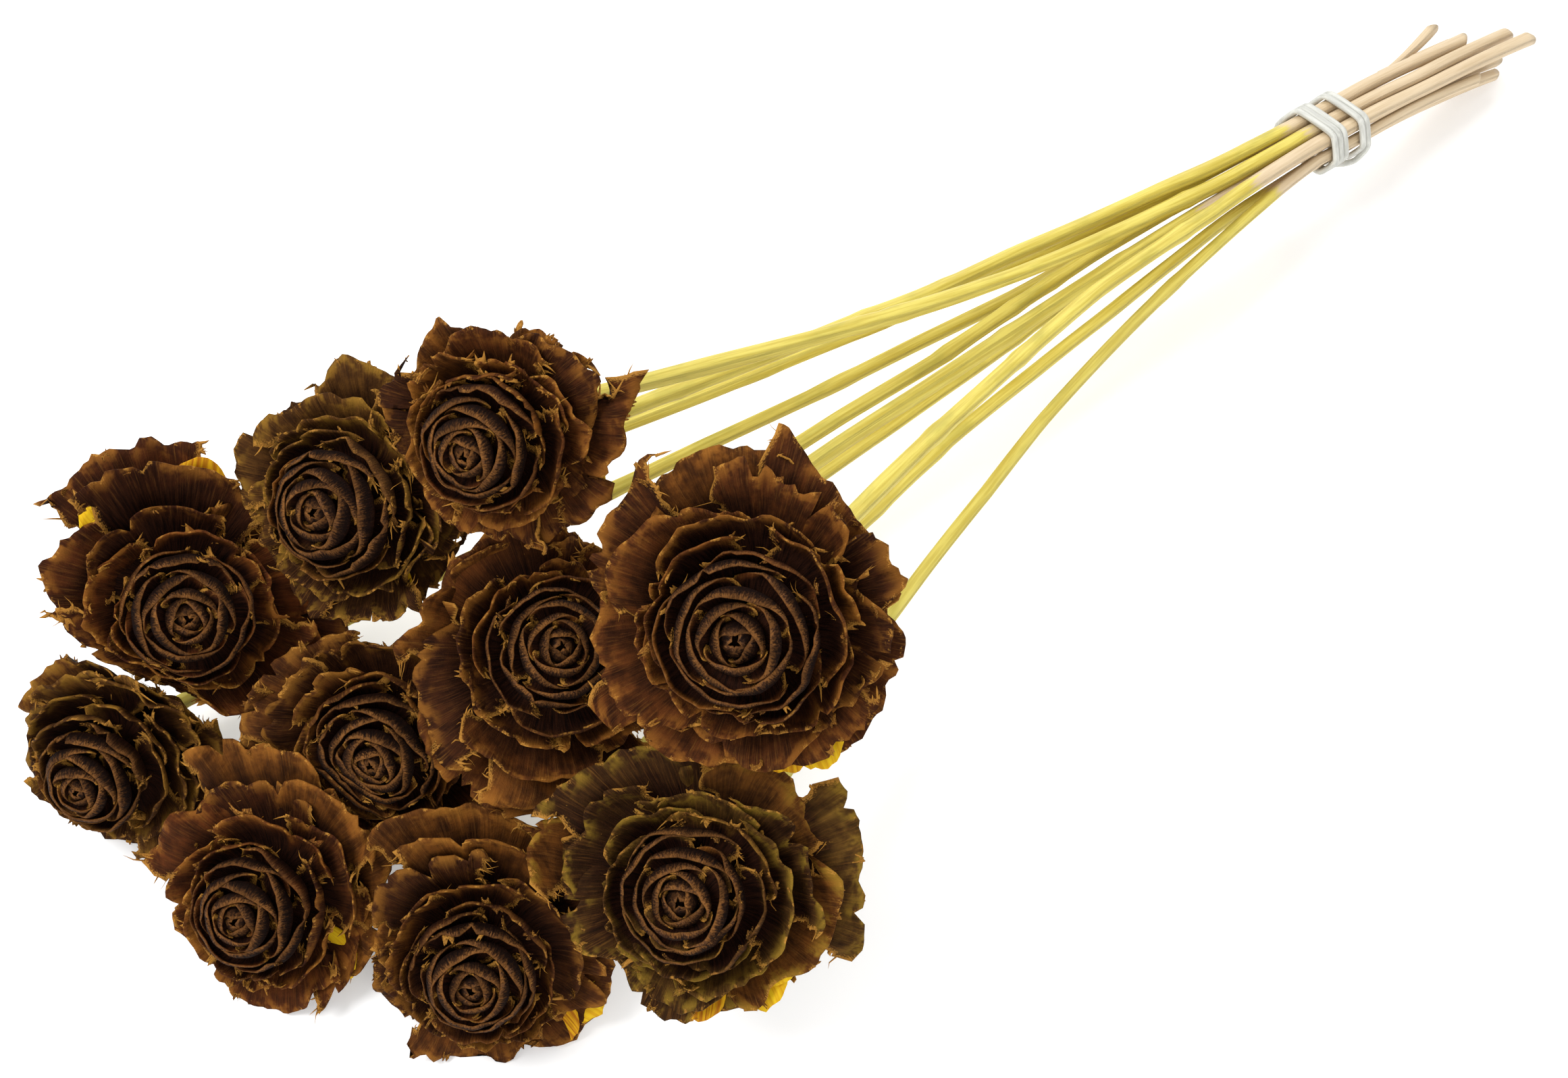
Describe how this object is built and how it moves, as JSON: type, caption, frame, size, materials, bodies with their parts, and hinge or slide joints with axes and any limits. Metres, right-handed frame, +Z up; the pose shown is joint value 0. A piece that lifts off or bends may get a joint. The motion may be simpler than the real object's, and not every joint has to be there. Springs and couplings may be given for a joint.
{
  "type": "tied bunch of cedar rose cones on stems",
  "caption": "Cedar rose cones on natural stems, gathered in a bunch by a wound elastic band and lying on a surface.",
  "frame": {"origin": "on the table, under the middle of the bunch's box", "axes": "+X runs along the bunch from the roses to the cut ends, +Z is up from the table"},
  "size_m": [0.5028, 0.2046, 0.1322],
  "materials": {
    "cone_scales": "matt dyed woody cone scales, dark brown with orange edges",
    "dyed_stem": "satin yellow-dyed natural stem, beige at the cut end",
    "rubber": "matt pale grey rubber"
  },
  "bodies": {
    "root": {"rose_01": "cone_scales", "rose_02": "cone_scales", "rose_03": "cone_scales", "rose_04": "cone_scales", "rose_05": "cone_scales", "rose_06": "cone_scales", "rose_07": "cone_scales", "rose_08": "cone_scales", "rose_09": "cone_scales", "rose_10": "cone_scales", "stem_01": "dyed_stem", "stem_02": "dyed_stem", "stem_03": "dyed_stem", "stem_04": "dyed_stem", "stem_05": "dyed_stem", "stem_06": "dyed_stem", "stem_07": "dyed_stem", "stem_08": "dyed_stem", "stem_09": "dyed_stem", "stem_10": "dyed_stem", "elastic_band": "rubber"}
  },
  "joints": []
}
